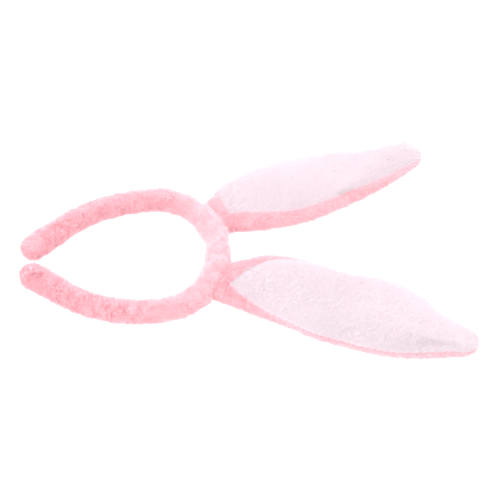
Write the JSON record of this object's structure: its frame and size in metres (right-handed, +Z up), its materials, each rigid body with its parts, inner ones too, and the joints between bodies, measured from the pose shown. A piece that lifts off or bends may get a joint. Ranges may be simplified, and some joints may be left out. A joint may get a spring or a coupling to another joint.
{
  "type": "animal ears headband",
  "caption": "Plush-covered springy hoop that clips over the head, with a pair of padded, wired rabbit ears that have white fronts.",
  "frame": {"origin": "where the inside of the crown rests on the head, in the middle of the hoop", "axes": "+Z up towards the ears as worn, -Y towards the white fronts of the ears (the wearer's face side), +X to the wearer's left"},
  "size_m": [0.2134, 0.0175, 0.2846],
  "materials": {
    "pink_plush": "soft short pile",
    "white_plush": "soft, very short pile",
    "polyester_wadding": "fluffy",
    "strip_plastic": "matt",
    "ear_wire_steel": "drawn",
    "sewing_thread": "twisted thread"
  },
  "bodies": {
    "crown": {"hoop_strip_crown": "strip_plastic", "hoop_wadding_crown": "polyester_wadding", "hoop_sleeve_crown": "pink_plush", "sleeve_seam_crown": "sewing_thread", "wire_anchor_left": "ear_wire_steel", "wire_anchor_right": "ear_wire_steel", "ear_base_tacks_left": "sewing_thread", "ear_base_tacks_right": "sewing_thread"},
    "left_arm": {"hoop_strip_left": "strip_plastic", "hoop_wadding_left": "polyester_wadding", "hoop_sleeve_left": "pink_plush", "sleeve_seam_left": "sewing_thread", "sleeve_end_left": "pink_plush"},
    "left_ear": {"ear_back_left_lower": "pink_plush", "ear_lining_left_lower": "white_plush", "ear_wadding_left_lower": "polyester_wadding", "ear_wire_left_lower": "ear_wire_steel", "ear_seam_left_lower": "sewing_thread", "ear_neck_gather_left": "sewing_thread"},
    "left_ear_tip": {"ear_back_left_upper": "pink_plush", "ear_lining_left_upper": "white_plush", "ear_wadding_left_upper": "polyester_wadding", "ear_wire_left_upper": "ear_wire_steel", "ear_seam_left_upper": "sewing_thread"},
    "right_arm": {"hoop_strip_right": "strip_plastic", "hoop_wadding_right": "polyester_wadding", "hoop_sleeve_right": "pink_plush", "sleeve_seam_right": "sewing_thread", "sleeve_end_right": "pink_plush"},
    "right_ear": {"ear_back_right_lower": "pink_plush", "ear_lining_right_lower": "white_plush", "ear_wadding_right_lower": "polyester_wadding", "ear_wire_right_lower": "ear_wire_steel", "ear_seam_right_lower": "sewing_thread", "ear_neck_gather_right": "sewing_thread"},
    "right_ear_tip": {"ear_back_right_upper": "pink_plush", "ear_lining_right_upper": "white_plush", "ear_wadding_right_upper": "polyester_wadding", "ear_wire_right_upper": "ear_wire_steel", "ear_seam_right_upper": "sewing_thread"}
  },
  "joints": [
    {"name": "left_arm_spread", "type": "hinge", "parent": "crown", "child": "left_arm", "pos_m": [0.04434, 0, -0.01209], "axis": [0, -1, 0], "range_deg": [0, 30], "stiffness_Nm_per_rad": 0.46},
    {"name": "right_arm_spread", "type": "hinge", "parent": "crown", "child": "right_arm", "pos_m": [-0.04434, 0, -0.01209], "axis": [0, 1, 0], "range_deg": [0, 30], "stiffness_Nm_per_rad": 0.46},
    {"name": "left_ear_lean", "type": "hinge", "parent": "crown", "child": "left_ear", "pos_m": [0.02599, 0, 0.00254], "axis": [0.9063, 0, -0.4226], "range_deg": [-40, 50]},
    {"name": "right_ear_lean", "type": "hinge", "parent": "crown", "child": "right_ear", "pos_m": [-0.02599, 0, 0.00254], "axis": [0.9063, 0, 0.4226], "range_deg": [-40, 50]},
    {"name": "left_ear_fold", "type": "hinge", "parent": "left_ear", "child": "left_ear_tip", "pos_m": [0.06825, 0.001, 0.09317], "axis": [0.9063, 0, -0.4226], "range_deg": [-30, 75]},
    {"name": "right_ear_fold", "type": "hinge", "parent": "right_ear", "child": "right_ear_tip", "pos_m": [-0.06825, 0.001, 0.09317], "axis": [0.9063, 0, 0.4226], "range_deg": [-30, 75]}
  ]
}
